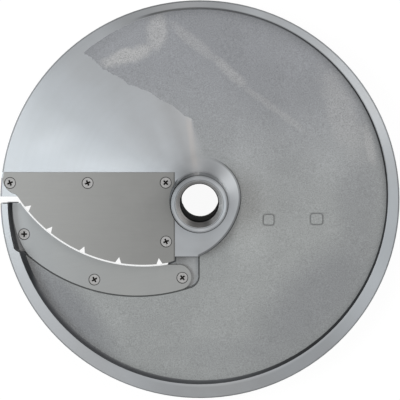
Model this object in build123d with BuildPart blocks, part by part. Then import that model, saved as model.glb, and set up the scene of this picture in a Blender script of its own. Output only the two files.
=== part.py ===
import os
from math import asin, atan2, cos, degrees, hypot, radians, sin, sqrt, tan

from build123d import *

os.makedirs("parts", exist_ok=True)

# Slicing disc for a vegetable cutter. Millimetres, +Z towards the food side.
# The origin is on the shaft axis, at the lower end of the hub.

# Turned outside of the casting
disc_diameter = 205.0
disc_radius = disc_diameter / 2
land_height = 19.0  # flat turned face of the rim, the sector and the hub land
rim_thickness = 8.0
rim_edge_chamfer = 0.8
slice_thickness = 7.0  # depth of the floor where it meets the knife

# Raw cast side. The rough casting sat a little off the axis when it was turned.
cast_centre = (-0.3, 1.7)
rim_width = 5.6
recess_radius = disc_radius - rim_width
recess_draft = 20.0
foot_width = 2.0
foot_slope = 24.0
recess_wall = 2.7
rim_root_radius = recess_radius + recess_wall  # outside of the floor's wall, under the rim
plate_thickness = 6.0

# The floor runs clockwise, from the turned face down to the insert. Each line holds
# a radius, the azimuth where the floor starts there, and the one where it is deep.
floor_lines = [
    (12.0, 60.0, -99.0),
    (43.0, 101.7, -102.0),
    (54.0, 112.5, -113.0),
    (68.0, 122.6, -129.0),
    (82.0, 127.4, -145.0),
    (recess_radius, 129.2, -162.0),
]
roof_lines = [floor_lines[0], floor_lines[1], floor_lines[-1]]
floor_step = 7.5

# Hub land, boss, sleeve and bore
hub_land_radius = 21.2
hub_flank_radius = 36.6
hub_flank_azimuth = -12.0
hub_land_draft = 8.0
hub_corner_y = -28.75
boss_diameter = 29.6
boss_height = 22.0
boss_chamfer = 1.2
sleeve_diameter = 34.0
sleeve_draft = 5.0
bore_diameter = 19.0
mouth_diameter = 23.8
mouth_length = 11.0
bore_chamfer = 0.6
drive_slot_width = 6.0
drive_slot_depth = 5.0

# Knife plate, flush in the turned face
knife_thickness = 2.0
knife_back_y = 14.6
knife_heel_y = 11.7
knife_side_x = -12.85
knife_edge_radius = 76.2
knife_tip = (9.0 - disc_radius, 2.1)  # the edge runs from here to the toe
knife_toe = (-16.2, -32.0)
knife_shoulder = (8.1 - disc_radius, 3.4)
knife_heel_bulge = (3.6 - disc_radius, 5.9)
knife_end_inset = 0.8  # from the disc's outside
knife_corner_y = -30.8
knife_seat_clearance = 0.1
knife_boss_clearance = 0.8
knife_bevel_width = 1.6
knife_bevel_height = 1.85
knife_bevel_runout = 3.0  # past the toe, degrees
notch_width = 3.1
notch_depth = 3.0
notch_places = [0.088, 0.267, 0.493, 0.711, 0.949]  # shares of the edge, from its tip

# Slot through the rim, and the window under the knife
slot_width = 3.7
window_side_x = -24.0
window_end_x = -16.4
window_corner = 2.5
seat_ramp = 3.5
seat_lip = 1.0

# Insert plate, in a pocket at the deep end of the floor
insert_thickness = 2.0
insert_gap = 1.3  # seen from above, between the knife's edge and the insert
insert_overhang = 1.5
insert_clearance = 0.15
insert_edge_end_x = -19.5
insert_end_y = -1.9
insert_end_clearance = 1.9  # from the pocket's wall in the rim
insert_side_clearance = 2.8
insert_side_azimuth = 191.4
insert_nose_radius = 6.5
pocket_radius = 84.85
pocket_heel = (13.7 - disc_radius, -28.95)  # the pocket's long arc passes here and at the toe
pocket_toe = (-9.13, -46.68)
pocket_side_x = -0.7
pocket_rim_wall = 3.7  # left of the rim outside the pocket
pocket_corner = 6.0
pocket_rim_corner = (11.5 - disc_radius, -21.0)  # centre of the round corner at the rim

# Countersunk cross-recess screws: x, y and the turn of the cross
rim_screw_x = 5.1 - disc_radius
side_screw_x = 11.5 - disc_radius
back_screw_x = -54.7
back_screw_inset = 5.4  # from the insert's back
nose_screw_offset = (1.9, -0.3)  # from the centre of the insert's nose
knife_screws = [(rim_screw_x, 9.1, 22.0), (-57.55, 9.1, 22.0), (-17.45, 9.3, 45.0), (-17.3, -21.05, 22.0)]
screw_diameter = 3.0
screw_length = 6.0
thread_depth = 5.2
head_diameter = 5.3
head_clearance = 0.03
countersink_diameter = 6.0
plate_hole_diameter = 3.3
thread_clearance = 0.05
cross_span = 3.0
cross_width = 0.9
cross_depth = 1.1
cross_draft = 10.0

boss_radius = boss_diameter / 2
sleeve_radius = sleeve_diameter / 2
bore_radius = bore_diameter / 2
mouth_radius = mouth_diameter / 2
countersink_radius = countersink_diameter / 2
head_radius = head_diameter / 2
screw_radius = screw_diameter / 2
head_sink = countersink_radius - head_radius - head_clearance
hub_top = land_height + boss_height
roof_height = land_height - plate_thickness  # underside of the sector and of the floor's start
knife_seat = land_height - knife_thickness
insert_top = land_height - slice_thickness
insert_seat = insert_top - insert_thickness
slot_bottom_y = knife_tip[1] - slot_width
insert_edge_radius = knife_edge_radius + insert_gap
insert_back_radius = pocket_radius - insert_clearance
knife_end_radius = disc_radius - knife_end_inset
pocket_rim_radius = disc_radius - pocket_rim_wall
past = 5.0  # how far cutting shapes reach past the faces they cut
blank_bottom = roof_height - slice_thickness - past
margin = 1.0  # round corners that are looked for, and where the knife's end is opened


def floor_depth(line, azimuth):
    """Depth of the floor under the turned face, on one of the floor's lines."""
    _, start, end = line
    return slice_thickness * min((start - azimuth) / (start - end), 1.0)


def azimuths(first, last):
    """Evenly spaced azimuths from first down to last."""
    count = round((first - last) / floor_step)
    return [first + (last - first) * i / count for i in range(count + 1)]


def polar(centre, radius, azimuth):
    """Point at a radius and an azimuth about a centre."""
    return centre[0] + radius * cos(radians(azimuth)), centre[1] + radius * sin(radians(azimuth))


def azimuth_of(point, centre):
    """Azimuth of a point about a centre."""
    return degrees(atan2(point[1] - centre[1], point[0] - centre[0]))


def arc_centre(first, last, radius):
    """Centre of the circle through two points, left of the way from the first to the last."""
    way = (last[0] - first[0], last[1] - first[1])
    length = hypot(*way)
    off = sqrt(radius**2 - length**2 / 4) / length
    return (first[0] + last[0]) / 2 - way[1] * off, (first[1] + last[1]) / 2 + way[0] * off


def arc_points(centre, first, last):
    """First, middle and last point of an arc about a centre."""
    radius = hypot(first[0] - centre[0], first[1] - centre[1])
    middle = (azimuth_of(first, centre) + azimuth_of(last, centre)) / 2
    return first, polar(centre, radius, middle), last


def upright_plane(origin, azimuth):
    """Upright plane through a point, its x pointing to an azimuth and its y upwards."""
    a = radians(azimuth)
    return Plane(origin=origin, x_dir=(cos(a), sin(a), 0), z_dir=(sin(a), -cos(a), 0))


def upright_section(azimuth, profile):
    """Points of a profile of radii and heights, in the upright half plane of an azimuth."""
    return [(*polar(cast_centre, radius, azimuth), height) for radius, height in profile]


def flat_face(*points):
    """Flat face with these corners."""
    return Face(Wire.make_polygon(points))


def faceted(sections):
    """Solid through sections with the same number of corners, joined by flat triangles."""
    faces = [flat_face(*sections[0]), flat_face(*sections[-1])]
    for near, far in zip(sections, sections[1:]):
        for i in range(len(near)):
            faces.append(flat_face(near[i - 1], near[i], far[i]))
            faces.append(flat_face(near[i - 1], far[i], far[i - 1]))
    return Solid(Shell(faces))


def left_of(centre, radius, y):
    """Point of a circle at a given y, on its left side."""
    return centre[0] - sqrt(radius**2 - (centre[1] - y) ** 2), y


def below(centre, radius, x):
    """Point of a circle at a given x, on its lower side."""
    return x, centre[1] - sqrt(radius**2 - (centre[0] - x) ** 2)


# Centres of the knife's edge and of the pocket, and what is placed from them
knife_edge_centre = arc_centre(knife_tip, knife_toe, knife_edge_radius)
edge_start = azimuth_of(knife_tip, knife_edge_centre)
edge_span = azimuth_of(knife_toe, knife_edge_centre) - edge_start
pocket_centre = arc_centre(pocket_heel, pocket_toe, pocket_radius)
insert_corner_azimuth = azimuth_of(pocket_heel, pocket_centre)
insert_nose_azimuth = azimuth_of(pocket_toe, pocket_centre)
nose_centre = polar(pocket_centre, insert_back_radius - insert_nose_radius, insert_nose_azimuth)
nose_top = (nose_centre[0], nose_centre[1] + insert_nose_radius)
back_screw_y = below(pocket_centre, insert_back_radius, back_screw_x)[1] + back_screw_inset
insert_screws = [
    (side_screw_x, -18.0, 0.0),
    (back_screw_x, back_screw_y, 30.0),
    (nose_centre[0] + nose_screw_offset[0], nose_centre[1] + nose_screw_offset[1], 40.0),
]

# The room over the floor: a section of the floor and its sloping foot is carried
# round the hub while the floor goes down, and the drafted wall's cone bounds it.
inner_radius = floor_lines[0][0]
floor_start = floor_lines[-1][1]
floor_end = -180.0
first_section = floor_start + floor_step / 2  # still over the turned face
room_reach = recess_radius + past
floor_sections = []
for azimuth in azimuths(first_section, floor_end):
    floor_profile = [(line[0], land_height - floor_depth(line, azimuth)) for line in floor_lines[:-1]]
    outer = floor_depth(floor_lines[-1], azimuth)
    foot_radius = recess_radius - outer * tan(radians(recess_draft)) - foot_width
    foot_rise = (room_reach - foot_radius) * tan(radians(foot_slope))
    floor_profile += [
        (foot_radius, land_height - outer),
        (room_reach, land_height - outer + foot_rise),
        (room_reach, hub_top),
        (inner_radius, hub_top),
    ]
    floor_sections.append(upright_section(azimuth, floor_profile))
with BuildPart() as channel:
    add(faceted(floor_sections))
    with BuildSketch(Plane.XY.offset(hub_top)):
        with Locations(cast_centre):
            Circle(recess_radius + boss_height * tan(radians(recess_draft)))
    extrude(amount=-hub_top, taper=recess_draft, mode=Mode.INTERSECT)

# Where the casting is open from below: inside the rim, and below the rim's lower face.
with BuildPart() as below_rim:
    with BuildSketch(Plane.XY.offset(-2 * past)):
        with Locations(cast_centre):
            Circle(rim_root_radius)
    extrude(amount=land_height + 2 * past)
    with BuildSketch(Plane.XY.offset(-2 * past)):
        Circle(disc_radius + 2 * past)
    extrude(amount=land_height - rim_thickness + 2 * past)

# The room under the casting: it follows the floor, one plate thickness lower, and
# lies flat under the sector.
room_radius = rim_root_radius + past
roof_sections = []
for azimuth in azimuths(floor_start, floor_end):
    inner, middle, outer = (max(floor_depth(line, azimuth), 0.0) for line in roof_lines)
    roof_profile = [
        (inner_radius, roof_height - inner),
        (roof_lines[1][0], roof_height - middle),
        (room_radius, roof_height - outer),
        (room_radius, -past),
        (inner_radius, -past),
    ]
    roof_sections.append(upright_section(azimuth, roof_profile))
with BuildPart() as under_room:
    add(faceted(roof_sections))
    with BuildSketch(Plane.XY.offset(roof_height)):
        with BuildLine():
            sector_arc = CenterArc(cast_centre, room_radius, floor_start, 180.0 - floor_start)
            Polyline(sector_arc @ 1, cast_centre, sector_arc @ 0)
        make_face()
    extrude(amount=-roof_height - past)
    add(below_rim.part, mode=Mode.INTERSECT)

# Hub land outline: the hub circle, a larger tangent flank, and the block that
# carries the knife's inner screws.
flank_centre = polar(cast_centre, hub_land_radius - hub_flank_radius, hub_flank_azimuth)
flank_end = degrees(asin((hub_corner_y - flank_centre[1]) / hub_flank_radius))
with BuildSketch(Plane.XY.offset(land_height)) as hub_land:
    with BuildLine():
        hub_arc = CenterArc(cast_centre, hub_land_radius, hub_flank_azimuth, 180.0 - hub_flank_azimuth)
        flank_sweep = flank_end - hub_flank_azimuth
        flank_arc = CenterArc(flank_centre, hub_flank_radius, hub_flank_azimuth, flank_sweep)
        Polyline(
            hub_arc @ 1,
            (window_side_x, cast_centre[1]),
            (window_side_x, hub_corner_y),
            flank_arc @ 1,
        )
    make_face()

# Opening through the casting: the slot in the rim, and the window under the knife,
# straight along the knife's seat and round the insert's edge.
window_edge_radius = insert_edge_radius + insert_overhang
with BuildSketch(Plane.XY.offset(-past)) as window:
    with BuildLine():
        rim_side = left_of(knife_edge_centre, window_edge_radius, slot_bottom_y)
        nose_side = below(knife_edge_centre, window_edge_radius, window_end_x)
        ThreePointArc(*arc_points(knife_edge_centre, rim_side, nose_side))
        Polyline(
            nose_side,
            (window_end_x, hub_corner_y),
            (window_side_x, hub_corner_y),
            (window_side_x, knife_tip[1]),
            (-disc_radius - past, knife_tip[1]),
            (-disc_radius - past, slot_bottom_y),
            rim_side,
        )
    make_face()
    near_hub = window.vertices().filter_by_position(Axis.X, window_side_x - margin, window_end_x + margin)
    fillet(near_hub, window_corner)

# Pocket for the insert, with the relief that it cuts into the rim below the slot.
with BuildSketch(Plane.XY.offset(insert_seat)) as pocket:
    with Locations(pocket_centre):
        Circle(pocket_radius)
    with Locations(pocket_rim_corner):
        Circle(pocket_corner)
    Circle(pocket_rim_radius, mode=Mode.INTERSECT)
    with BuildSketch(mode=Mode.PRIVATE) as reach:
        with Locations((window_side_x, slot_bottom_y), (pocket_side_x, hub_corner_y)):
            Rectangle(disc_diameter, disc_diameter, align=(Align.MAX, Align.MAX))
    add(reach.sketch, mode=Mode.INTERSECT)
    fillet(pocket.vertices().sort_by(Axis.Y)[0], pocket_corner)

# Outline of the knife: straight back, round heel at the rim, curved edge, and a
# hollow that clears the boss.
knife_heel = left_of((0, 0), knife_end_radius, knife_heel_y)
with BuildSketch(Plane.XY.offset(knife_seat)) as knife_outline:
    with BuildLine():
        RadiusArc(left_of((0, 0), knife_end_radius, knife_back_y), knife_heel, knife_end_radius)
        ThreePointArc(knife_heel, knife_heel_bulge, knife_shoulder)
        Line(knife_shoulder, knife_tip)
        ThreePointArc(*arc_points(knife_edge_centre, knife_tip, knife_toe))
        Polyline(
            knife_toe,
            (knife_side_x, knife_corner_y),
            (knife_side_x, knife_back_y),
            left_of((0, 0), knife_end_radius, knife_back_y),
        )
    make_face()
    Circle(boss_radius + knife_boss_clearance, mode=Mode.SUBTRACT)

# Hub: a drafted sleeve below, the turned boss above
with BuildPart() as hub:
    with BuildSketch(Plane.XY):
        Circle(sleeve_radius)
    extrude(amount=land_height, taper=-sleeve_draft)
    with BuildSketch(Plane.XY.offset(land_height)):
        Circle(boss_radius)
    extrude(amount=boss_height)
    chamfer(hub.edges().group_by(Axis.Z)[-1], boss_chamfer)

# Room of the bore, with its tapered mouth above and a small chamfer below
with BuildPart() as bore:
    with BuildSketch(Plane.XZ):
        with BuildLine():
            Polyline(
                (0, -past),
                (bore_radius + bore_chamfer + past, -past),
                (bore_radius, bore_chamfer),
                (bore_radius, hub_top - mouth_length),
                (mouth_radius, hub_top),
                (mouth_radius, hub_top + past),
                (0, hub_top + past),
                close=True,
            )
        make_face()
    revolve(axis=Axis.Z)

# The casting
with BuildPart() as disc_body:
    with BuildSketch(Plane.XY.offset(land_height - rim_thickness)):
        Circle(disc_radius)
    extrude(amount=rim_thickness)
    chamfer(disc_body.edges().group_by(Axis.Z)[-1], rim_edge_chamfer)
    with BuildSketch(Plane.XY.offset(blank_bottom)):
        with Locations(cast_centre):
            Circle(rim_root_radius)
    extrude(amount=land_height - rim_thickness - blank_bottom)
    add(channel.part, mode=Mode.SUBTRACT)
    extrude(hub_land.sketch, amount=-slice_thickness - plate_thickness / 2, taper=-hub_land_draft)
    add(under_room.part, mode=Mode.SUBTRACT)
    add(hub.part)
    add(bore.part, mode=Mode.SUBTRACT)
    Box(sleeve_diameter + past, drive_slot_width, 2 * drive_slot_depth, mode=Mode.SUBTRACT)

    # Openings and seats for the knife and the insert
    extrude(window.sketch, amount=land_height + 2 * past, mode=Mode.SUBTRACT)
    with BuildSketch(Plane.YZ.offset(rim_side[0])):
        with BuildLine():
            Polyline(
                (knife_tip[1], knife_seat - seat_lip),
                (knife_tip[1] + seat_ramp, roof_height),
                (knife_tip[1] + seat_ramp, roof_height - past),
                (knife_tip[1], roof_height - past),
                close=True,
            )
        make_face()
    extrude(amount=window_side_x - rim_side[0], mode=Mode.SUBTRACT)
    with BuildSketch(Plane.XY.offset(knife_seat)):
        offset(knife_outline.sketch, amount=knife_seat_clearance, kind=Kind.INTERSECTION)
        with Locations((-disc_radius - past, knife_heel_y - knife_seat_clearance)):
            Rectangle(
                past + disc_radius + knife_heel[0] + margin,
                knife_back_y - knife_heel_y + 2 * knife_seat_clearance,
                align=(Align.MIN, Align.MIN),
            )
    extrude(amount=knife_thickness + past, mode=Mode.SUBTRACT)
    extrude(pocket.sketch, amount=slice_thickness + insert_thickness + past, mode=Mode.SUBTRACT)

    # Tapped holes
    with Locations([(x, y, knife_seat) for x, y, _ in knife_screws]):
        Hole(screw_radius, depth=thread_depth)
    with Locations([(x, y, insert_seat) for x, y, _ in insert_screws]):
        Hole(screw_radius, depth=thread_depth)

# The knife, with its edge ground from below and V notches across it
with BuildPart() as knife_plate:
    extrude(knife_outline.sketch, amount=knife_thickness)
    with BuildSketch(upright_plane((*knife_edge_centre, knife_seat), edge_start)):
        Polygon(
            (knife_edge_radius - knife_bevel_width, 0),
            (knife_edge_radius, knife_bevel_height),
            (knife_edge_radius + past, knife_bevel_height),
            (knife_edge_radius + past, -past),
            (knife_edge_radius - knife_bevel_width, -past),
            align=None,
        )
    edge_axis = Axis((*knife_edge_centre, 0), (0, 0, 1))
    revolve(axis=edge_axis, revolution_arc=edge_span + knife_bevel_runout, mode=Mode.SUBTRACT)
    with BuildSketch(Plane.XY.offset(knife_seat)):
        for place in notch_places:
            azimuth = edge_start + place * edge_span
            x, y = polar(knife_edge_centre, knife_edge_radius, azimuth)
            with Locations(Location((x, y, 0), (0, 0, azimuth))):
                Polygon(
                    (-notch_depth, 0),
                    (notch_depth, -notch_width),
                    (notch_depth, notch_width),
                    align=None,
                )
    extrude(amount=knife_thickness, mode=Mode.SUBTRACT)
    with Locations([(x, y, land_height) for x, y, _ in knife_screws]):
        CounterSinkHole(plate_hole_diameter / 2, countersink_radius, counter_sink_angle=90)

# The insert: a sickle whose hollow side follows the knife's edge
insert_tip = left_of(knife_edge_centre, insert_edge_radius, insert_end_y)
insert_heel = left_of((0, 0), pocket_rim_radius - insert_end_clearance, insert_end_y)
insert_side = polar((0, 0), pocket_rim_radius - insert_side_clearance, insert_side_azimuth)
edge_end = below(knife_edge_centre, insert_edge_radius, insert_edge_end_x)
with BuildPart() as insert_plate:
    with BuildSketch(Plane.XY.offset(insert_seat)):
        with BuildLine():
            ThreePointArc(*arc_points(knife_edge_centre, insert_tip, edge_end))
            Line(edge_end, nose_top)
            nose_arc = CenterArc(nose_centre, insert_nose_radius, 90, insert_nose_azimuth - 90)
            back_arc = CenterArc(
                pocket_centre,
                insert_back_radius,
                insert_nose_azimuth,
                insert_corner_azimuth - insert_nose_azimuth,
            )
            ThreePointArc(back_arc @ 1, insert_side, insert_heel)
            Line(insert_heel, insert_tip)
        make_face()
    extrude(amount=insert_thickness)
    with Locations([(x, y, insert_top) for x, y, _ in insert_screws]):
        CounterSinkHole(plate_hole_diameter / 2, countersink_radius, counter_sink_angle=90)

# One countersunk screw, upright, with its head's top at the origin
shank_radius = screw_radius - thread_clearance
neck_depth = head_radius - shank_radius
with BuildPart() as screw:
    with BuildSketch(Plane.XZ):
        with BuildLine():
            Polyline(
                (0, 0),
                (head_radius, 0),
                (shank_radius, -neck_depth),
                (shank_radius, -screw_length),
                (0, -screw_length),
                close=True,
            )
        make_face()
    revolve(axis=Axis.Z)
    with BuildSketch(Plane.XY):
        Rectangle(cross_span, cross_width)
        Rectangle(cross_width, cross_span)
    extrude(amount=-cross_depth, taper=cross_draft, mode=Mode.SUBTRACT)

disc_body.part.label = "disc_body"
knife_plate.part.label = "knife_plate"
insert_plate.part.label = "insert_plate"
export_step(disc_body.part, "parts/disc_body.step")
export_step(knife_plate.part, "parts/knife_plate.step")
export_step(insert_plate.part, "parts/insert_plate.step")

# The seven screws, each with the turn of its cross
screw_rows = [("knife_screw", land_height, knife_screws), ("insert_screw", insert_top, insert_screws)]
for kind, face_height, places in screw_rows:
    for number, (x, y, turn) in enumerate(places, start=1):
        with BuildPart() as placed_screw:
            with Locations(Location((x, y, face_height - head_sink), (0, 0, turn))):
                add(screw.part)
        placed_screw.part.label = f"{kind}_{number}"
        export_step(placed_screw.part, f"parts/{kind}_{number}.step")
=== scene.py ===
from functools import reduce
from math import cos, radians, sin
from types import SimpleNamespace

import bpy
import numpy as np
from mathutils import Matrix, Vector


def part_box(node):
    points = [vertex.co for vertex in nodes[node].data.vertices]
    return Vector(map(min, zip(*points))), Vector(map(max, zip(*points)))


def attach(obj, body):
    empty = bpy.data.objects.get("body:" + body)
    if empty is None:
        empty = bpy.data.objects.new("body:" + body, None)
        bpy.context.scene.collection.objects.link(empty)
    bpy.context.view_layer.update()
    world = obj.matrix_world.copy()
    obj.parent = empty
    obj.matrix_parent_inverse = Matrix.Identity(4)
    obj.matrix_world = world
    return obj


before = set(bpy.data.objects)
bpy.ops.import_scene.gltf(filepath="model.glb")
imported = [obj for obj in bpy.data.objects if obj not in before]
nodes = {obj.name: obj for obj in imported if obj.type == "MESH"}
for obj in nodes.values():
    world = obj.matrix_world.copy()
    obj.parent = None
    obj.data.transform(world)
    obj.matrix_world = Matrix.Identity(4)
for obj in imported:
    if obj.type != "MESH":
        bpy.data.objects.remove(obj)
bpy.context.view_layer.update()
millimetre = 0.001
print("frame loaded:", len(nodes), "nodes")


class Wire:
    # One output in a node tree. Arithmetic on it adds Math nodes to the same tree.
    def __init__(self, tree, socket):
        self.tree = tree
        self.socket = socket

    def math(self, operation, first, second=None):
        values = {0: first} if second is None else {0: first, 1: second}
        return self.tree.make("ShaderNodeMath", {"operation": operation}, values)

    def __add__(self, other):
        return self.math("ADD", self, other)

    def __radd__(self, other):
        return self.math("ADD", other, self)

    def __sub__(self, other):
        return self.math("SUBTRACT", self, other)

    def __rsub__(self, other):
        return self.math("SUBTRACT", other, self)

    def __mul__(self, other):
        return self.math("MULTIPLY", self, other)

    def __rmul__(self, other):
        return self.math("MULTIPLY", other, self)

    def __truediv__(self, other):
        return self.math("DIVIDE", self, other)

    def __rtruediv__(self, other):
        return self.math("DIVIDE", other, self)

    def atLeast(self, other):
        return self.math("MAXIMUM", self, other)

    def atMost(self, other):
        return self.math("MINIMUM", self, other)

    def size(self):
        return self.math("ABSOLUTE", self)

    def root(self):
        return self.math("SQRT", self)

    def power(self, exponent):
        return self.math("POWER", self, exponent)

    def step(self, low, high):
        # 0 up to low, 1 from high on, and a soft step between; low may lie above high
        values = {0: self, 1: low, 2: high, 3: 0.0, 4: 1.0}
        return self.tree.make("ShaderNodeMapRange", {"interpolation_type": "SMOOTHSTEP"}, values)

    def span(self, low, high):
        # A value from 0 to 1 carried to the range from low to high
        return self * (high - low) + low


class Tree:
    # The node tree of a material or of the world
    def __init__(self, owner):
        owner.use_nodes = True
        self.nodes = owner.node_tree.nodes
        self.links = owner.node_tree.links
        self.nodes.clear()

    def make(self, kind, settings, values, output=0):
        # Any node: its settings first, then what goes into its sockets, by name or number
        node = self.nodes.new(kind)
        for name, value in settings.items():
            setattr(node, name, value)
        for name, value in values.items():
            if isinstance(value, Wire):
                self.links.new(value.socket, node.inputs[name])
            else:
                node.inputs[name].default_value = value
        return Wire(self, node.outputs[output]) if len(node.outputs) else None

    def blend(self, factor, first, second):
        # Two colours mixed by a factor
        return self.make("ShaderNodeMix", {"data_type": "RGBA"}, {0: factor, 6: first, 7: second}, 2)

    def shade(self, colour, value):
        # A colour made lighter or darker by a value
        given = colour if isinstance(colour, Wire) else colour[:3]
        return self.make("ShaderNodeVectorMath", {"operation": "SCALE"}, {0: given, "Scale": value})

    def darken(self, colour, share):
        # A colour made darker by a share of it
        return self.shade(colour, 1.0 - share)

    def place(self):
        # Object coordinates in millimetres: the vector, then x, y and z
        position = self.make("ShaderNodeTexCoord", {}, {}, "Object")
        values = {0: position, "Scale": 1.0 / millimetre}
        scaled = self.make("ShaderNodeVectorMath", {"operation": "SCALE"}, values)
        parts = [self.make("ShaderNodeSeparateXYZ", {}, {0: scaled}, axis) for axis in ("X", "Y", "Z")]
        return [scaled] + parts

    def vector(self, x, y, z):
        return self.make("ShaderNodeCombineXYZ", {}, {0: x, 1: y, 2: z})

    def noise(self, vector, pitch, detail=2.0, rough=0.5):
        # Cloudy noise from 0 to 1, its lumps about one pitch apart, in millimetres
        values = {"Vector": vector, "Scale": 1.0 / pitch, "Detail": detail, "Roughness": rough}
        return self.make("ShaderNodeTexNoise", {}, values)

    def bump(self, height, depth, below=None):
        # Relief: a height from 0 to 1 that stands for a depth in millimetres
        values = {"Strength": 1.0, "Distance": depth * millimetre, "Height": height}
        if below is not None:
            values["Normal"] = below
        return self.make("ShaderNodeBump", {}, values)

    def metal(self, colour, roughness, normal, fixed):
        # A Principled surface; fixed holds what is the same all over
        values = {"Base Color": colour, "Roughness": roughness, "Normal": normal}
        values.update(fixed)
        return self.make("ShaderNodeBsdfPrincipled", {}, values)

    def finish(self, surface):
        self.make("ShaderNodeOutputMaterial", {}, {"Surface": surface})


def grey(level, warmth=0.0, violet=0.0):
    # A near-grey colour as it looks on the screen, from 0 to 255: warmth moves red up and blue down,
    # and violet moves green down
    steps = (level + warmth, level - violet, level - warmth)
    return tuple(max(0.0, step / 255.0) ** 2.2 for step in steps) + (1.0,)


def newMaterial(name):
    material = bpy.data.materials.new(name)
    return material, Tree(material)


def coat(piece, material):
    # Every slot of a piece gets the material
    if not piece.material_slots:
        piece.data.materials.append(material)
    for slot in piece.material_slots:
        slot.material = material


def newPiece(name, data):
    # A new object in the scene, at the origin
    piece = bpy.data.objects.new(name, data)
    bpy.context.scene.collection.objects.link(piece)
    return piece


def band(value, low, high, soft):
    # 1 between two limits, with soft ends
    return value.step(low - soft, low + soft) * value.step(high + soft, high - soft)


def within(at, place):
    # The product of one mask for each measure that the place limits: two numbers are the ends of a
    # step, and three are a band's limits and how soft its ends are
    masks = [(band if len(limits) == 3 else Wire.step)(getattr(at, name), *limits)
             for name, limits in place.items()]
    return reduce(Wire.__mul__, masks)


def distance(x, y, centreX, centreY):
    # Root of the sum of the two squared offsets
    offX, offY = x - centreX, y - centreY
    return (offX * offX + offY * offY).root()


def turnedBy(x, y, degrees):
    # Coordinates along and across a line that is turned by so many degrees
    cosine, sine = cos(radians(degrees)), sin(radians(degrees))
    return x * cosine + y * sine, y * cosine - x * sine


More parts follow.
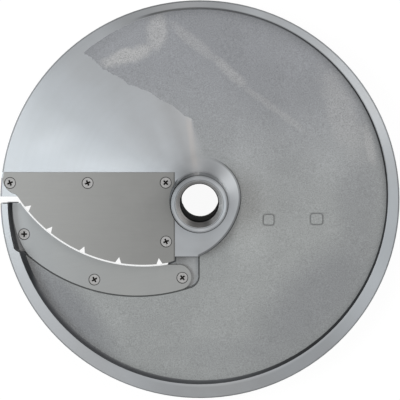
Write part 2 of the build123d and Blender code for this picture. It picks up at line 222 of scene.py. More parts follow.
# The casting: turned where it is smooth, raw where it is grey. Lengths are in millimetres.
casting = {
    "landHeight": 19.0,  # of the turned face, over the hub's lower end
    "castCentre": (-0.3, 1.7),  # of the raw floor's round edge
    "recessRadius": 96.9,  # of that edge
    "rimSide": (101.5, 101.6),  # radius from which the rim is turned all over
    "boreRadius": 12.3,  # within it the boss is turned all over
    "footHeight": 0.3,  # under it the hub is turned all over
    "slope": 1.8,  # of the raw floor, in a radian

    # Border of the raw floor
    "raggedPitch": 1.1,
    "raggedReach": (-0.2, 1.3),  # how far the border wanders
    "borderSoft": (0.5, 10.0),  # its width at the rim, and how much wider it gets at the hub
    "softRadius": (46.0, 28.0),  # where it gets wider
    "uprightBorder": (-5.0, -3.5, 8.0),  # x of its two sides over the hub, and how far the second leans
    "borderLean": (44.0, 22.0),  # y over which it leans

    # Raw finish
    "farColour": grey(127, -2.2, 0.9),  # at the far edge
    "nearColour": grey(134, -0.6, -1.1),  # and at the near edge
    "farToNear": (80.0, -20.0),  # y of the change
    "rubbedColour": grey(152, 0.6),
    "shadedColour": grey(111, -2.0, 1.0),
    "shadowColour": grey(52, -3.0),  # painted shadow deep in corners
    # Walls: painted shade, darker at the top than at the foot and darker at the right
    "wallShadeTop": grey(84, -2.5, 1.0),
    "wallShadeFoot": grey(146, -2.5, 1.0),
    "wallDepth": (1.5, 6.5),  # under the turned face, from top to foot
    "wallRight": 0.24,  # how bright the wall is at the right, by its left part
    "wallShare": 0.94,
    "pocketColour": grey(147, -0.5),
    "pocketShare": 0.8,
    "dirtColour": grey(150, -1.0),
    "cloudPitch": 40.0,
    "cloudTone": (0.96, 1.03),
    "mottlePitch": 6.0,
    "mottleTone": (0.95, 1.05),
    "grainPitch": 0.6,
    "grainTone": (0.4, 1.6),
    "grainRelief": 0.05,
    "pitPitch": 1.5,
    "pitShade": 0.06,
    "castRough": (0.5, 0.66),
    "castShine": {"Metallic": 0.75},
    "recessShade": 0.08,  # painted shade towards the floor's outer edge
    "marks": ((35.5, -10.1, 5.8, 5.8), (60.2, -9.6, 6.6, 6.0)),  # centre and size of the cast pads
    "markOutline": (0.92, 1.14, 0.12),  # painted shade round the pad, by the pad's half size
    "markShade": 0.34,

    # Patches are ellipses: centre, half length, half width, turn in degrees and strength. A fade is
    # where they end and where they are full, and 1 is on the outline.
    "rubbed": ((-36.8, 74.2, 15.0, 4.4, 17.0, 0.85), (-21.6, 86.0, 10.5, 5.4, 80.0, 0.64),
               (-3.2, 81.5, 17.0, 3.2, -38.7, 0.36), (14.8, 66.4, 14.0, 2.8, -43.0, 0.45),
               (38.4, 47.1, 24.0, 2.0, -36.0, 0.32), (73.0, 44.0, 26.0, 8.0, -70.0, 0.4),
               (87.2, 28.0, 10.0, 2.8, -78.0, 0.6)),
    "rubbedFade": (1.9, 1.15),
    "rubbedWander": 1.3,  # how much the mottle moves the outline
    # The shaded patches are painted shade, and the lit ones painted light
    "shaded": ((61.0, -50.0, 46.0, 20.0, 45.0, 0.55), (-69.0, -55.0, 40.0, 11.0, -48.0, 0.7),
               (20.0, 92.0, 60.0, 12.0, -8.0, 0.2), (34.0, 58.0, 34.0, 18.0, -40.0, 0.25),
               (82.0, 0.0, 24.0, 14.0, 90.0, 0.35), (15.0, -80.0, 30.0, 10.0, 0.0, 0.2)),
    "shadedFade": (1.3, 0.3),
    "lit": ((25.0, 0.0, 32.0, 14.0, 90.0, 0.24), (63.0, 30.0, 26.0, 15.0, -55.0, 0.12)),
    "litFade": (1.4, 0.2),
    "gleams": ((-74.0, 31.0, 15.0, 7.0, 25.0, 0.07), (-18.0, 29.0, 13.0, 3.5, 112.0, 0.07),
               (-40.0, 19.0, 34.0, 4.0, 0.0, 0.03)),  # painted highlights on the turned sector
    "gleamFade": (1.6, 0.3),
    "gleamWander": 0.6,

    # Outlines of painted shade on the level faces: circle centre and radius, then the limits of x and
    # of y
    "outlines": ((-32.8, 34.8, 85.05, (-92.0, -5.0), (-52.0, -24.0)),
                 (-6.7, -39.6, 6.25, (-5.0, 1.0), (-47.0, -39.8))),
    "outlineWidth": (-0.35, 0.4, 0.15),
    "outlineShade": 0.76,
    # Edge of the hub land, along which a line of painted shade lies: two circles that touch at a height
    # y, each with its centre and radius
    "landCircles": ((-0.3, 1.7, 21.2), (-15.36, 4.9, 36.6)),
    "landTouch": (-3.2, -2.2),
    "landLine": (-0.85, 0.25, 0.2),  # from that edge
    "landShade": 0.55,
    # Painted shade along the top edge of the floor's wall, and softer painted shade beside it
    "rimLine": (-0.75, 0.35, 0.3),
    "rimLineShade": 0.62,
    "rimSoft": (-4.0, -0.6),
    "rimSoftShade": 0.14,

    # Turned finish
    "turnedColour": grey(178, -3.5),
    "turnedDull": grey(168, -2.0),
    "streakHighlightColour": grey(186, 2.5, 0.8),  # painted highlight: a narrow bright line over the hub
    "streakHighlightShare": 0.5,
    "mouthColour": grey(180, 0.5),
    # Painted shade deep inside the bore
    "boreShadeColour": grey(18),
    "fineRings": 0.2,  # pitch of the turning marks
    "broadRings": 2.2,
    "ringRelief": 0.002,
    "ringTone": (0.985, 1.015),
    "stainPitch": 26.0,
    "hubwardLight": (0.99, 1.09),  # painted light, rising from the rim to the hub
    "turnedRough": (0.28, 0.4),
    "mouthRough": 0.6,
    "boreRough": 0.95,
    "turnedShine": {"Metallic": 1.0, "Anisotropic": 0.8, "Anisotropic Rotation": 0.25},
    "bossPitch": 0.55,  # of the rings on top of the boss
    "bossRingShade": 0.22,
    # Painted shade on the boss, at the far left and at the sides
    "bossLeftShade": 0.3,
    "bossSideShade": 0.15,
    "groovePitch": 0.9,  # of the grooves in the mouth
    "grooveShade": 0.45,
    "landLightAndShade": (0.12, 0.12, -0.22),  # painted light and shade of the hub land: all over, at the right, at the far side

    # Painted shade that looks one way from the axis, and painted light where the strength is below 0:
    # that way's x and y, the cosine at which each starts and that at which it is full, and how strong
    # it is
    "rimShades": ((-0.12, 0.99, 0.9, 1.0, 0.33), (0.26, -0.97, 0.75, 1.0, 0.2),
                  (1.0, 0.0, 0.9, 1.0, 0.16), (-0.71, -0.71, 0.8, 1.0, -0.07),
                  (0.5, 0.87, 0.9, 1.0, -0.1), (0.87, -0.5, 0.9, 1.0, 0.07)),
    "sectorShades": ((-0.602, 0.799, 0.94, 1.0, -0.06), (-0.191, 0.982, 0.97, 1.0, 0.1),
                     (-0.875, 0.485, 0.98, 1.0, 0.04)),
    "mouthShades": ((0.0, -1.0, 0.75, 1.0, 0.62), (1.0, 0.0, 0.5, 1.0, 0.2),
                    (0.7071, -0.7071, 0.75, 1.0, 0.24)),

    # Places, each by its limits: x, y and z, the radius from the axis, the reach from the floor's
    # centre, the slant along the knife's near end, and the lean of the painted highlight over the hub
    "slantSlope": 0.405,  # how much y the slant gains in a millimetre of x
    "leanSlope": 0.135,  # and how much x the lean loses in one of y
    "overHub": {"y": (10.0, 14.0), "radius": (22.5, 55.0, 1.5)},
    "streak": {"lean": (-1.5, 1.5, 0.9), "radius": (18.0, 42.0, 4.0), "y": (10.0, 14.0)},
    "recessEdge": {"radius": (91.0, 96.5)},
    "pocketFloor": {"z": (9.6, 10.4, 0.1)},
    "pocketEnd": {"x": (-0.9, -0.05, 0.15), "y": (-39.8, -29.0, 0.2)},
    "landFoot": {"x": (-13.0, -0.5, 0.3), "y": (-30.0, -28.6, 0.2), "z": (14.0, 13.0)},
    "footShade": 0.74,  # painted shade of the last two, at the foot of walls in the pocket
    "dirt": {"x": (-85.0, -87.5), "y": (-3.0, -5.0), "z": (12.0, 11.0)},
    # Painted shadow at the knife's tip, under the knife and in the gap by the boss
    "knifeTip": {"x": (-82.0, -88.0), "z": (9.5, 18.4, 0.3)},
    "knifeTipShade": 0.86,
    "underKnife": {"slant": (-27.4, -25.5, 0.15), "x": (-17.2, -12.4, 0.2), "z": (14.0, 13.0)},
    "underCorner": {"x": (-13.3, -12.3, 0.15), "y": (-32.3, -29.2, 0.2), "z": (14.0, 13.0)},
    "underShade": 0.8,  # painted shadow of the last two
    "bossGap": {"radius": (17.0, 16.0), "x": (-8.0, -12.0), "z": (16.8, 18.4, 0.2)},
    "bossGapShade": 0.9,
    "rimLineFade": {"x": (-36.0, -22.0), "y": (-10.0, 30.0)},
    "landLineFade": {"x": (-1.2, -0.6), "y": (-29.0, -28.6), "z": (19.4, 19.2)},
    "rim": {"radius": (95.5, 97.0)},
    "sector": {"radius": (21.0, 98.0, 3.0)},
    "hubLand": {"radius": (28.0, 21.0), "z": (19.6, 19.3)},
    "boss": {"radius": (11.0, 15.5, 0.2), "z": (19.3, 19.6)},
    "mouth": {"radius": (12.0, 11.95), "z": (40.98, 40.9)},
    "bore": {"radius": (10.2, 9.8), "z": (33.2, 31.6)},
    # Painted shade along each edge of the turned parts: place, strength, and how much stronger each is
    # at the left
    "edges": (({"radius": (101.8, 102.6, 0.1), "z": (18.0, 18.2)}, 0.36, 0.0),
              ({"radius": (11.0, 15.5, 0.2), "z": (19.05, 39.7, 0.15)}, 0.45, 0.51),
              ({"radius": (13.4, 13.6), "z": (39.9, 40.9, 0.15)}, 0.12, 0.0),
              ({"radius": (14.25, 14.9, 0.1), "z": (39.0, 39.6)}, 0.6, 0.36),
              ({"radius": (16.1, 15.7), "z": (16.5, 19.2, 0.3), "x": (-10.0, -12.5)}, 0.84, 0.0),
              ({"radius": (12.0, 12.35, 0.1), "z": (19.3, 19.6)}, 0.36, 0.0)),
}


def patchMasks(at, patches, fade, wander=0.0):
    # One mask for each ellipse, times its strength. An ellipse's own distance is 0 in its middle and
    # 1 on its outline, and what is added to it makes the outline wander.
    masks = []
    for centreX, centreY, halfLength, halfWidth, turn, strength in patches:
        lengthwise, sideways = turnedBy(at.x - centreX, at.y - centreY, turn)
        away = lengthwise.power(2.0) / halfLength ** 2 + sideways.power(2.0) / halfWidth ** 2
        masks.append((away.root() + wander).step(*fade) * strength)
    return masks


def sideShade(at, shades):
    # The sum of steps of the cosine between the way to a point and the way that a shade looks
    return sum((at.east * partX + at.north * partY).step(start, full) * strength
               for partX, partY, start, full, strength in shades)


def castingSpot(tree, looks):
    # What both finishes read: where a point lies, how its face lies, and two lines of painted shade.
    # Level faces, the floor's facets among them, take one normal, so that the facets don't show.
    vector, x, y, z = tree.place()
    radius = (x * x + y * y).root()
    smooth = tree.make("ShaderNodeNewGeometry", {}, {}, "Normal")
    flat = tree.make("ShaderNodeNewGeometry", {}, {}, "True Normal")
    upward = tree.make("ShaderNodeSeparateXYZ", {}, {0: flat}, "Z")
    level = upward.step(0.78, 0.84) * z.step(0.5, 1.0)
    values = {0: level, 4: smooth, 5: (0.0, 0.0, 1.0)}
    at = SimpleNamespace(
        vector=vector, x=x, y=y, z=z, radius=radius,
        east=x / radius, north=y / radius,
        reach=distance(x, y, *looks["castCentre"]),
        slant=y - x * looks["slantSlope"],
        lean=x + y * looks["leanSlope"],
        upright=upward.size(),  # 1 on level faces, 0 on walls
        upper=upward.step(-0.1, 0.1),  # 1 on the upper side, 0 on the underside
        ground=tree.make("ShaderNodeMix", {"data_type": "VECTOR"}, values, 1),
        mottle=tree.noise(vector, looks["mottlePitch"], detail=3.0, rough=0.6))

    # Painted shade in a long line on the wall's top edge where it is low, from the start of the floor
    # to the right
    at.pastWall = at.reach - looks["recessRadius"]
    at.rimFade = within(at, looks["rimLineFade"])
    at.rimLine = band(at.pastWall, *looks["rimLine"]) * at.rimFade * looks["rimLineShade"]

    # A line of painted shade round the hub land, weaker where it begins
    near, far = (distance(x, y, centreX, centreY) - away
                 for centreX, centreY, away in looks["landCircles"])
    pastLand = far + (near - far) * y.step(*looks["landTouch"])
    begins = x.step(2.0, 22.0).atLeast(y.step(0.0, -3.0))
    at.landLine = band(pastLand, *looks["landLine"]) * begins * within(at, looks["landLineFade"])
    at.landLine = at.landLine * at.upper * looks["landShade"]
    return at


def rawShare(tree, at, looks):
    # Raw under the turned face, from a border on. The floor's depth times the radius, by its slope,
    # gives the way from its start, and noise makes that border ragged at the rim. It is soft at the
    # hub, and over the hub it stands nearly upright. Rim, mouth and foot are turned all over.
    ragged = tree.noise(at.vector, looks["raggedPitch"], detail=3.0, rough=0.6)
    ragged = ragged.span(*looks["raggedReach"]).atLeast(0.1)
    way = (looks["landHeight"] - at.z) * at.radius / looks["slope"]
    narrow, wider = looks["borderSoft"]
    width = at.radius.step(*looks["softRadius"]) * wider + narrow
    raw = (way - ragged).step(0.0, width)
    left, right, leaning = looks["uprightBorder"]
    border = at.x.step(left, at.y.step(*looks["borderLean"]) * leaning + right)
    raw = raw.atLeast(border * within(at, looks["overHub"]))
    bore, foot = looks["boreRadius"], looks["footHeight"]
    turned = at.radius.step(*looks["rimSide"]).atLeast(at.radius.step(bore, bore - 0.1))
    return raw * (1.0 - turned.atLeast(at.z.step(foot, foot - 0.1)))


def rawSurface(tree, at, looks):
    # Raw sand-cast finish: a colour that goes from far to near, times clouds, grain, mottle and pits,
    # with rubbed patches, patches of painted shade and painted light, a paler pocket, painted shade
    # along outlines and walls and painted shadow in corners mixed in through their masks
    clouds = tree.noise(at.vector, looks["cloudPitch"])
    grain = tree.noise(at.vector, looks["grainPitch"], detail=3.0, rough=0.7)
    pits = tree.noise(at.vector, looks["pitPitch"])
    colour = tree.blend(at.y.step(*looks["farToNear"]), looks["farColour"], looks["nearColour"])
    colour = tree.shade(colour, clouds.step(0.36, 0.64).span(*looks["cloudTone"]))
    # Painted shade and painted light in patches
    shaded = sum(patchMasks(at, looks["shaded"], looks["shadedFade"])).atMost(1.0)
    colour = tree.blend(shaded * at.upper, colour, looks["shadedColour"])
    lit = sum(patchMasks(at, looks["lit"], looks["litFade"]))
    colour = tree.shade(colour, lit * at.upper + 1.0)
    wander = at.mottle * looks["rubbedWander"]
    rubbed = reduce(Wire.atLeast, patchMasks(at, looks["rubbed"], looks["rubbedFade"], wander))
    rubbed = rubbed * at.upper * grain.step(0.3, 0.55).span(0.4, 0.9)
    colour = tree.blend(rubbed, colour, looks["rubbedColour"])
    colour = tree.shade(colour, grain.span(*looks["grainTone"]) * at.mottle.span(*looks["mottleTone"]))
    colour = tree.darken(colour, pits.step(0.4, 0.3) * looks["pitShade"])

    # Painted shade round the outlines of the pads, as superellipses, and towards the edge of the floor
    for markX, markY, width, length in looks["marks"]:
        spanX, spanY = (at.x - markX) / (width / 2), (at.y - markY) / (length / 2)
        ring = (spanX.power(4.0) + spanY.power(4.0)).power(0.25)
        colour = tree.darken(colour, band(ring, *looks["markOutline"]) * at.upper * looks["markShade"])
    colour = tree.darken(colour, within(at, looks["recessEdge"]) * looks["recessShade"])

    # The pocket: a paler floor, outlines of painted shade, and dirt at its left end
    paler = tree.shade(looks["pocketColour"], grain.span(0.8, 1.2))
    colour = tree.blend(within(at, looks["pocketFloor"]) * looks["pocketShare"], colour, paler)
    inner, outer, soft = looks["outlineWidth"]
    for centreX, centreY, away, limitsX, limitsY in looks["outlines"]:
        line = band(distance(at.x, at.y, centreX, centreY), away + inner, away + outer, soft)
        line = line * band(at.x, *limitsX, 0.2) * band(at.y, *limitsY, 0.2)
        colour = tree.darken(colour, line * at.upper * looks["outlineShade"])
    # Painted shade at the foot of the pocket's end walls
    side = within(at, looks["pocketEnd"]).atLeast(within(at, looks["landFoot"]))
    colour = tree.darken(colour, side * at.upper * looks["footShade"])
    dirt = within(at, looks["dirt"]) * at.mottle.step(0.2, 0.5).span(0.6, 1.0)
    colour = tree.blend(dirt * at.upper, colour, looks["dirtColour"])

    # Walls painted darker as shade, more at the top and at the right, and painted shadow in corners
    wall = at.upright.step(0.8, 0.6)
    depth = (looks["landHeight"] - at.z).step(*looks["wallDepth"])
    wallShadeTone = at.east.step(0.1, 0.6).span(1.0, looks["wallRight"]) * at.mottle.span(0.85, 1.15)
    wallShadeColour = tree.shade(tree.blend(depth, looks["wallShadeTop"], looks["wallShadeFoot"]), wallShadeTone)
    colour = tree.blend(wall * looks["wallShare"], colour, wallShadeColour)
    # Painted shadow: the corner at the knife's tip, under the knife and in the gap by the boss
    tip = at.reach.step(97.0, 97.7).atLeast(wall).atLeast(at.y.step(-13.0, -6.0))
    tip = tip * within(at, looks["knifeTip"]) * looks["knifeTipShade"]
    under = within(at, looks["underKnife"]).atLeast(within(at, looks["underCorner"]))
    dark = tip.atLeast(under * looks["underShade"])
    dark = dark.atLeast(within(at, looks["bossGap"]) * looks["bossGapShade"])
    colour = tree.blend(dark * at.upper, colour, looks["shadowColour"])

    # Painted shade along the wall's top edge and round the hub land
    rimSoft = at.pastWall.step(*looks["rimSoft"]) * at.rimFade * looks["rimSoftShade"]
    colour = tree.shade(colour, (1.0 - at.rimLine) * (1.0 - rimSoft) * (1.0 - at.landLine))
    normal = tree.bump(grain * 0.6 + pits * 0.4, looks["grainRelief"], at.ground)
    return tree.metal(colour, grain.span(*looks["castRough"]), normal, looks["castShine"])


def turnedSurface(tree, at, looks):
    # Turned finish: noise over the radius gives fine and broad rings round the axis. Stains, a painted
    # highlight in a bright line, painted shade and light that look one way from the axis, painted shade
    # along each edge and a bore painted dark as shade lie over them.
    ringPath = tree.vector(at.radius * at.upright, at.z, 0.0)
    fineRings = tree.noise(ringPath, looks["fineRings"], rough=0.6)
    broadRings = tree.noise(ringPath, looks["broadRings"])
    stains = tree.noise(at.vector, looks["stainPitch"], detail=3.0, rough=0.6)
    dull = broadRings.step(0.35, 0.75) * 0.15 + stains.step(0.35, 0.7) * 0.6
    colour = tree.blend(dull, looks["turnedColour"], looks["turnedDull"])
    # Painted light: lighter from the rim towards the hub
    middle = at.radius.step(95.0, 35.0).span(*looks["hubwardLight"])
    colour = tree.shade(colour, fineRings.span(*looks["ringTone"]) * middle)
    # Painted highlight: a narrow bright line over the hub
    streak = within(at, looks["streak"]) * at.upper * looks["streakHighlightShare"]
    colour = tree.blend(streak, colour, looks["streakHighlightColour"])

    # Rim, sector and hub land, with painted shade, painted light and painted highlights
    rimShade = within(at, looks["rim"]) * sideShade(at, looks["rimShades"])
    colour = tree.shade(colour, (1.0 - rimShade) * (1.0 - at.rimLine))
    colour = tree.darken(colour, within(at, looks["sector"]) * sideShade(at, looks["sectorShades"]))
    # Painted highlights on the sector
    wander = at.mottle * looks["gleamWander"]
    gleams = sum(patchMasks(at, looks["gleams"], looks["gleamFade"], wander))
    colour = tree.shade(colour, gleams * at.upper + 1.0)
    allOver, atRight, atFar = looks["landLightAndShade"]
    landLightAndShade = at.east.step(0.3, 0.9) * atRight + at.north.atLeast(0.0).power(4.0) * atFar + allOver
    colour = tree.shade(colour, within(at, looks["hubLand"]) * landLightAndShade + 1.0)

    # The boss: rings, painted shade at the far left and at the sides, and painted shade along each edge
    rings = tree.noise(tree.vector(at.radius, 0.0, 0.0), looks["bossPitch"], rough=0.6).step(0.5, 0.62)
    farLeft = ((at.north - at.east) * cos(radians(45.0))).atLeast(0.0)
    bossShade = farLeft * looks["bossLeftShade"] + rings * looks["bossRingShade"]
    bossShade = (bossShade + at.east.power(4.0) * looks["bossSideShade"]) * within(at, looks["boss"])
    toLeft = at.east.step(0.1, -0.8)
    edges = reduce(Wire.atLeast, [within(at, place) * (toLeft * more + strength)
                                  for place, strength, more in looks["edges"]])
    colour = tree.shade(colour, (1.0 - bossShade) * (1.0 - edges) * (1.0 - at.landLine))

    # The mouth, with its painted shadow and its grooves, and the bore, painted dark as shade
    mouth, bore = within(at, looks["mouth"]), within(at, looks["bore"])
    mouthColour = tree.darken(looks["mouthColour"], sideShade(at, looks["mouthShades"]))
    colour = tree.blend(mouth, colour, mouthColour)
    grooves = tree.noise(tree.vector(at.z, 0.0, 0.0), looks["groovePitch"], rough=0.6).step(0.55, 0.42)
    colour = tree.darken(colour, mouth * grooves * looks["grooveShade"])
    colour = tree.blend(bore, colour, looks["boreShadeColour"])
    roughness = stains.span(*looks["turnedRough"]).atLeast(mouth * looks["mouthRough"])
    roughness = roughness.atLeast(bore * looks["boreRough"])
    normal = tree.bump(fineRings * 0.5 + broadRings * 0.5, looks["ringRelief"], at.ground)
    return tree.metal(colour, roughness, normal, looks["turnedShine"])


def castingMaterial(looks):
    # The two finishes, mixed by how raw a point is
    material, tree = newMaterial("turnedAndCastAluminium")
    at = castingSpot(tree, looks)
    raw = rawShare(tree, at, looks)
    surfaces = {0: raw, 1: turnedSurface(tree, at, looks), 2: rawSurface(tree, at, looks)}
    tree.finish(tree.make("ShaderNodeMixShader", {}, surfaces))
    return material


# Raised pads on the raw floor
pads = {
    "height": 0.45,  # over the floor, mm
    "sunk": 0.5,  # of the skirt, under the floor
    "corner": 5.0,  # exponent of the outline: 2 is an ellipse, and more is squarer
    "shoulder": 0.28,  # share of the pad's half width that is its rounded edge
    "rings": 20,
    "crowding": 1.5,  # of the rings towards the outline
    "points": 72,
    # Radius, azimuth where the floor starts and where it is deep
    "floorLines": ((12.0, 60.0, -99.0), (43.0, 101.7, -102.0), (54.0, 112.5, -113.0),
                   (68.0, 122.6, -129.0), (82.0, 127.4, -145.0), (96.9, 129.2, -162.0)),
    "floorDrop": 7.0,
}


def floorHeight(x, y, looks):
    # The floor falls evenly with the azimuth on each of its lines, and runs straight between the two
    # lines next to a point: each line weighs 1 on its own radius and 0 from its neighbours' on
    offX, offY = x - casting["castCentre"][0], y - casting["castCentre"][1]
    radius, azimuth = np.hypot(offX, offY), np.degrees(np.arctan2(offY, offX))
    radii = [line[0] for line in looks["floorLines"]]
    weights = [np.interp(radius, radii, row) for row in np.eye(len(radii))]
    drops = [np.clip((begin - azimuth) / (begin - end), 0.0, 1.0) * looks["floorDrop"]
             for _, begin, end in looks["floorLines"]]
    return casting["landHeight"] - sum(weight * drop for weight, drop in zip(weights, drops))


def meshFromGrid(name, grid, pole):
    # A closed ring of columns: rows of quads from the first row to the last, and a fan of triangles
    # from there to the pole
    rows, columns = grid.shape[:2]
    points = grid.reshape(-1, 3)
    index = np.arange(rows * columns).reshape(rows, columns)
    following = np.roll(index, -1, axis=1)
    quads = np.stack([index[:-1], following[:-1], following[1:], index[1:]], axis=-1).reshape(-1, 4)
    fan = np.stack([index[-1], following[-1], np.full(columns, len(points))], axis=-1)
    points = np.vstack([points, pole])
    faces = quads.tolist() + fan.tolist()
    mesh = bpy.data.meshes.new(name)
    mesh.from_pydata((points * millimetre).tolist(), [], faces)
    mesh.shade_smooth()
    mesh.update()
    return mesh


def raisedPad(name, mark, looks):
    # Rings of a superellipse shrink from the outline to the middle, while the height over the floor
    # rises as the top quarter of a circle across the shoulder, and then stays level
    markX, markY, width, length = mark
    turn = np.linspace(0.0, 2.0 * np.pi, looks["points"], endpoint=False)
    exponent = 2.0 / looks["corner"]
    unitX = np.sign(np.cos(turn)) * np.abs(np.cos(turn)) ** exponent
    unitY = np.sign(np.sin(turn)) * np.abs(np.sin(turn)) ** exponent
    share = 1.0 - (np.arange(looks["rings"]) / looks["rings"]) ** looks["crowding"]
    x = markX + np.outer(share, unitX) * width / 2
    y = markY + np.outer(share, unitY) * length / 2
    across = np.clip((1.0 - share) / looks["shoulder"], 0.0, 1.0)
    rise = np.sqrt(1.0 - (1.0 - across) ** 2) * (looks["height"] + looks["sunk"]) - looks["sunk"]
    z = floorHeight(x, y, looks) + rise[:, None]
    middle = floorHeight(np.array(markX), np.array(markY), looks) + looks["height"]
    mesh = meshFromGrid(name, np.stack([x, y, z], axis=-1), (markX, markY, middle))
    return newPiece(name, mesh)


aluminium = castingMaterial(casting)
coat(nodes["disc_body"], aluminium)
for number, mark in enumerate(casting["marks"], start=1):
    pad = raisedPad(f"cast_pad_{number}", mark, pads)
    coat(pad, aluminium)
    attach(pad, "root")
print("casting finished")


# Knife and insert: ground stainless sheet
sheet = {
    "stretch": 0.02,  # of the grinding lines: how fast they change lengthwise, by across
    "relief": 0.0015,
    "fineTone": (0.95, 1.05),
    "bandPitch": 1.3,
    "bandStretch": 0.04,
    "bandTone": (0.98, 1.02),
    "stainPitch": 16.0,
    "screwRingShade": (1.5, 3.02, 0.12),  # radii of the ring of painted shade round a screw's head
    "screwRingDarkness": 0.72,
    "edgeHighlights": (),  # circles, by centre and radius, within which a ground edge is painted near white as a highlight
    "edgeHighlightColour": grey(250),
}
knife = {
    **sheet,
    "colour": grey(154, 0.8, -0.8),
    "dark": grey(132, 1.0, -0.8),
    "darkens": (-95.0, -12.0),  # x over which the sheet gets darker, as a painted darker reflection
    "lines": 0.14,  # across the grinding lines, mm
    "roughness": (0.32, 0.42),
    "turn": 0.0,  # of the grinding lines, degrees
    "screws": ((-97.4, 9.1), (-57.55, 9.1), (-17.45, 9.3), (-17.3, -21.05)),
    "edges": ((-13.5, -13.3, 0.35),),  # x over which an end gets painted shade, or painted light where the strength is below 0, and how much
}
insert = {
    **sheet,
    "colour": grey(157, -1.8, -0.6),
    "dark": grey(149, 0.4, -1.0),
    "darkens": (-95.0, -40.0),
    "lines": 0.16,
    "roughness": (0.34, 0.44),
    "turn": 12.0,
    "screws": ((-91.0, -18.0), (-54.7, -41.6), (-9.1, -40.6)),
    "edges": ((-3.4, -3.2, 0.3), (-86.0, -96.0, -0.22)),
    "edgeHighlights": ((-29.25, 43.07, 77.82),),
}


def steelMaterial(name, looks):
    # Long fine grinding lines and faint broader bands, which are noise drawn out lengthwise, a few
    # stains, darker along x as a painted reflection, painted shade in a ring round each head, and ends
    # with painted shade or painted light, or a ground edge painted near white as a highlight
    material, tree = newMaterial(name)
    vector, x, y, z = tree.place()
    lengthwise, sideways = turnedBy(x, y, looks["turn"])
    finePath = tree.vector(lengthwise * looks["stretch"], sideways, z)
    fine = tree.noise(finePath, looks["lines"], detail=3.0, rough=0.65)
    bands = tree.noise(tree.vector(lengthwise * looks["bandStretch"], sideways, z), looks["bandPitch"])
    stains = tree.noise(vector, looks["stainPitch"], detail=3.0, rough=0.55)
    # Painted darker reflection along x, with a share of stains
    darker = x.step(*looks["darkens"]) * 0.8 + stains.step(0.35, 0.7) * 0.2
    colour = tree.blend(darker, looks["colour"], looks["dark"])
    colour = tree.shade(colour, fine.span(*looks["fineTone"]) * bands.span(*looks["bandTone"]))
    # Painted shade in a ring round each screw's head
    for screwX, screwY in looks["screws"]:
        ring = band(distance(x, y, screwX, screwY), *looks["screwRingShade"])
        colour = tree.darken(colour, ring * looks["screwRingDarkness"])
    # Painted shade or painted light at the ends
    for start, full, strength in looks["edges"]:
        colour = tree.darken(colour, x.step(start, full) * strength)
    # A ground edge painted near white as a highlight
    for centreX, centreY, away in looks["edgeHighlights"]:
        ground = distance(x, y, centreX, centreY).step(away + 0.05, away - 0.05)
        colour = tree.blend(ground, colour, looks["edgeHighlightColour"])
    normal = tree.bump(fine * 0.7 + bands * 0.3, looks["relief"])
    tree.finish(tree.metal(colour, stains.span(*looks["roughness"]), normal, {"Metallic": 1.0}))
    return material


coat(nodes["knife_plate"], steelMaterial("groundKnifeSteel", knife))
coat(nodes["insert_plate"], steelMaterial("groundInsertSteel", insert))
print("knife and insert finished")


# Screws
screws = {
    "colour": grey(170, 1.0),
    "dirt": grey(40, 2.0),
    "dirtDepth": (0.2, 0.7),  # where the cross gets dark, with dirt and painted shade
    "dirtRough": 0.3,
    "scratches": 0.3,
    "scratchTone": (0.85, 1.15),
    "relief": 0.02,
    "wearPitch": 1.2,
    "wearTone": (0.85, 1.1),
    "roughness": (0.26, 0.4),
}


def screwMaterial(name, topHeight, looks):
    # Bright screws: a colour times scratches and wear, which are noise, and dirt and painted shade down
    # in the cross
    material, tree = newMaterial(name)
    vector, x, y, z = tree.place()
    scratches = tree.noise(tree.vector(x * 0.2, y, z), looks["scratches"], detail=3.0, rough=0.7)
    wear = tree.noise(vector, looks["wearPitch"])
    shallow, deep = looks["dirtDepth"]
    dirt = z.step(topHeight - shallow, topHeight - deep)
    tone = scratches.span(*looks["scratchTone"]) * wear.span(*looks["wearTone"])
    colour = tree.blend(dirt, tree.shade(looks["colour"], tone), looks["dirt"])
    roughness = wear.span(*looks["roughness"]) + dirt * looks["dirtRough"]
    normal = tree.bump(scratches, looks["relief"])
    tree.finish(tree.metal(colour, roughness, normal, {"Metallic": 1.0}))
    return material


for kind in ("knife_screw", "insert_screw"):
    heads = [node for name, node in nodes.items() if name.startswith(kind)]
    top = max(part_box(node.name)[1].z for node in heads) / millimetre
    steel = screwMaterial(kind + "Steel", top, screws)
    for node in heads:
        coat(node, steel)
print("screws finished")


# Camera, floor and light
camera = {
    "aim": (0.0, 0.0, 0.019),  # middle of the turned face, metres
    "distance": 1.1,
    "tilt": 4.7,  # off the disc's axis, degrees
    "heading": 8.0,  # of the tilt, from +Y towards +X
    "lens": 192.9,  # mm, on a sensor 36 mm wide
    "shift": (0.0007, 0.002),  # by the frame's width
}
studio = {
    "floorSize": 12.0,  # metres
    "floorColour": grey(246),
    "floorGlow": 0.94,  # share of plain white that the camera sees in the floor
    "paperPitch": 2.0,  # of its faint mottle, mm
    "paperTone": (0.985, 1.015),
    "white": (1.0, 1.0, 1.0, 1.0),
    "roomLight": (0.55, 0.8),  # round the sides and overhead
    "overhead": 0.9,  # height from which the room is brightest
}
# Lamps: azimuth and elevation in degrees, distance and size in metres, power in watts, colour
lamps = {
    "leftSoftbox": (176.0, 48.0, 2.2, (1.3, 0.9), 34.0, (0.9, 0.96, 0.99)),
    "farStrip": (97.0, 50.0, 2.2, (0.07, 0.8), 8.0, (1.0, 0.93, 0.88)),
    "rightSoftbox": (25.0, 50.0, 2.4, (0.9, 0.9), 16.0, (1.0, 0.98, 0.95)),
}


def towards(azimuth, elevation):
    # Unit vector from the disc to a place round it
    around, up = radians(azimuth), radians(elevation)
    return Vector((cos(around) * cos(up), sin(around) * cos(up), sin(up)))


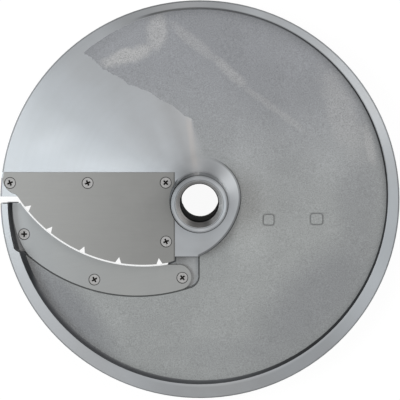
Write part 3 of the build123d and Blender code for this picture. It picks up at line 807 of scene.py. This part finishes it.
def addCamera(looks):
    # The camera's own axes are right, which is level with the floor, up, and back, away from the aim
    back = towards(90.0 - looks["heading"], 90.0 - looks["tilt"])
    right = Vector((0.0, 1.0, 0.0)).cross(back).normalized()
    turned = Matrix((right, back.cross(right), back)).transposed().to_4x4()
    data = bpy.data.cameras.new("camera")
    data.lens = looks["lens"]
    data.shift_x, data.shift_y = looks["shift"]
    holder = newPiece("camera", data)
    holder.matrix_world = Matrix.Translation(Vector(looks["aim"]) + back * looks["distance"]) @ turned
    bpy.context.scene.camera = holder


def seenBy(tree, *rays):
    # 1 for rays of the named kinds
    return sum(tree.make("ShaderNodeLightPath", {}, {}, kind) for kind in rays).atMost(1.0)


def addFloor(looks):
    # A square on which the disc stands. A part of it is white glow to the camera and to clear gloss
    # and glass, so that the shadow stays pale.
    half = looks["floorSize"] / 2
    corners = [(-half, -half, 0.0), (half, -half, 0.0), (half, half, 0.0), (-half, half, 0.0)]
    mesh = bpy.data.meshes.new("floor")
    mesh.from_pydata(corners, [], [(0, 1, 2, 3)])
    piece = newPiece("floor", mesh)
    material, tree = newMaterial("paleFloor")
    paper = tree.noise(tree.place()[0], looks["paperPitch"], detail=3.0, rough=0.6)
    colour = tree.shade(looks["floorColour"], paper.span(*looks["paperTone"]))
    plain = tree.make("ShaderNodeBsdfDiffuse", {}, {"Color": colour})
    glow = tree.make("ShaderNodeEmission", {}, {"Color": looks["white"], "Strength": 1.0})
    share = seenBy(tree, "Is Camera Ray", "Is Glossy Ray", "Is Transmission Ray") * looks["floorGlow"]
    tree.finish(tree.make("ShaderNodeMixShader", {}, {0: share, 1: plain, 2: glow}))
    coat(piece, material)


def addWorld(looks):
    # A plain room: brighter overhead than round the sides, and white to the camera
    world = bpy.data.worlds.new("studio")
    bpy.context.scene.world = world
    tree = Tree(world)
    direction = tree.make("ShaderNodeTexCoord", {}, {}, "Generated")
    height = tree.make("ShaderNodeSeparateXYZ", {}, {0: direction}, "Z")
    light = height.step(0.0, looks["overhead"]).span(*looks["roomLight"])
    seen = seenBy(tree, "Is Camera Ray")
    values = {"Color": looks["white"], "Strength": seen + (1.0 - seen) * light}
    backdrop = tree.make("ShaderNodeBackground", {}, values)
    tree.make("ShaderNodeOutputWorld", {}, {"Surface": backdrop})


def addLamp(name, azimuth, elevation, away, size, power, colour):
    # A rectangle of light that faces the disc and that the camera doesn't see
    data = bpy.data.lights.new(name, "AREA")
    data.shape = "RECTANGLE"
    data.size, data.size_y = size
    data.energy = power
    data.color = colour
    holder = newPiece(name, data)
    direction = towards(azimuth, elevation)
    holder.location = direction * away
    holder.rotation_mode = "QUATERNION"
    holder.rotation_quaternion = direction.to_track_quat("Z", "Y")
    holder.visible_camera = False


addCamera(camera)
addFloor(studio)
addWorld(studio)
for name, values in lamps.items():
    addLamp(name, *values)
bpy.context.scene.view_settings.view_transform = "Standard"
print("camera, floor and light set")
